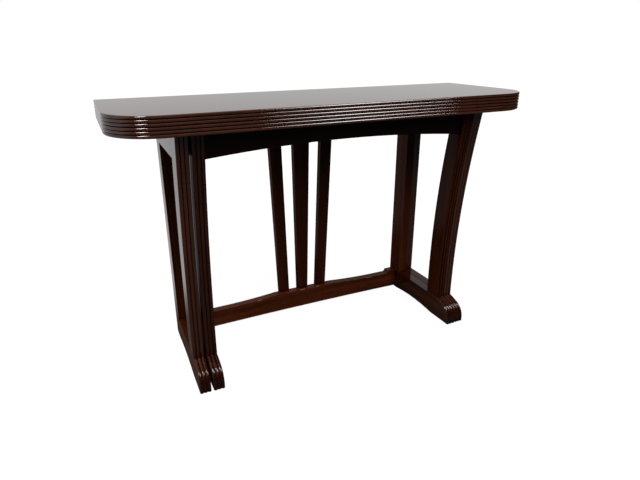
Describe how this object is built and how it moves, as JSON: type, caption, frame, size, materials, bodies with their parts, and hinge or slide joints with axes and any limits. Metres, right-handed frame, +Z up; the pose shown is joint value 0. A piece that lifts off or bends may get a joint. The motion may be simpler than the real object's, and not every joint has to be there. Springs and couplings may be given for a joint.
{
  "type": "folding console table",
  "caption": "Flip-top folding console table with reeded edges and curved reeded legs, two swinging end gates and a fold-over upper leaf.",
  "frame": {"origin": "on the floor, in the middle of the closed table's plan", "axes": "+X along the table to the right, +Y towards its hinged back, +Z up"},
  "size_m": [1.207, 0.401, 0.762],
  "materials": {
    "mahogany": "dark red-brown mahogany under a clear gloss polish",
    "secondary_wood": "plain sawn hardwood, unpolished",
    "brass": "solid drawn brass, slightly dulled",
    "steel": "bright mild steel screws"
  },
  "bodies": {
    "underframe": {"apron": "mahogany", "back_rail": "mahogany", "corner_block_back_left": "secondary_wood", "corner_block_back_right": "secondary_wood", "corner_block_front_left": "secondary_wood", "corner_block_front_right": "secondary_wood", "gate_hinge_screws_fixed": "brass", "glue_block_apron": "secondary_wood", "glue_block_back_rail": "secondary_wood", "leaf_hinge_centre_fixed_plate": "brass", "leaf_hinge_centre_pin": "brass", "leaf_hinge_left_fixed_plate": "brass", "leaf_hinge_left_pin": "brass", "leaf_hinge_right_fixed_plate": "brass", "leaf_hinge_right_pin": "brass", "leaf_hinge_screws_lower": "brass", "left_fixed_back_leg": "mahogany", "left_fixed_front_leg": "mahogany", "left_fixed_sled": "mahogany", "left_fixed_top_rail": "mahogany", "left_gate_hinge_lower_fixed_plate": "brass", "left_gate_hinge_lower_pin": "brass", "left_gate_hinge_upper_fixed_plate": "brass", "left_gate_hinge_upper_pin": "brass", "right_fixed_back_leg": "mahogany", "right_fixed_front_leg": "mahogany", "right_fixed_sled": "mahogany", "right_fixed_top_rail": "mahogany", "right_gate_hinge_lower_fixed_plate": "brass", "right_gate_hinge_lower_pin": "brass", "right_gate_hinge_upper_fixed_plate": "brass", "right_gate_hinge_upper_pin": "brass", "slat_centre": "mahogany", "slat_left": "mahogany", "slat_right": "mahogany", "slat_screws": "steel", "stretcher": "mahogany", "top_fixing_screws": "steel", "top_leaf_lower": "mahogany"},
    "upper_leaf": {"leaf_hinge_centre_moving_plate": "brass", "leaf_hinge_left_moving_plate": "brass", "leaf_hinge_right_moving_plate": "brass", "leaf_hinge_screws_upper": "brass", "top_leaf_upper": "mahogany"},
    "left_gate": {"left_gate_back_leg": "mahogany", "left_gate_front_leg": "mahogany", "left_gate_hinge_lower_gate_plate": "brass", "left_gate_hinge_screws": "brass", "left_gate_hinge_upper_gate_plate": "brass", "left_gate_sled": "mahogany", "left_gate_top_rail": "mahogany"},
    "right_gate": {"right_gate_back_leg": "mahogany", "right_gate_front_leg": "mahogany", "right_gate_hinge_lower_gate_plate": "brass", "right_gate_hinge_screws": "brass", "right_gate_hinge_upper_gate_plate": "brass", "right_gate_sled": "mahogany", "right_gate_top_rail": "mahogany"}
  },
  "joints": [
    {"name": "upper_leaf_fold", "type": "hinge", "parent": "underframe", "child": "upper_leaf", "pos_m": [0, 0.198, 0.73735], "axis": [-1, 0, 0], "range_deg": [0, 180]},
    {"name": "left_gate_swing", "type": "hinge", "parent": "underframe", "child": "left_gate", "pos_m": [-0.41895, 0.198, 0.35], "axis": [0, 0, -1], "range_deg": [-1.1, 178.9]},
    {"name": "right_gate_swing", "type": "hinge", "parent": "underframe", "child": "right_gate", "pos_m": [0.41895, 0.198, 0.35], "axis": [0, 0, 1], "range_deg": [0, 180]}
  ]
}
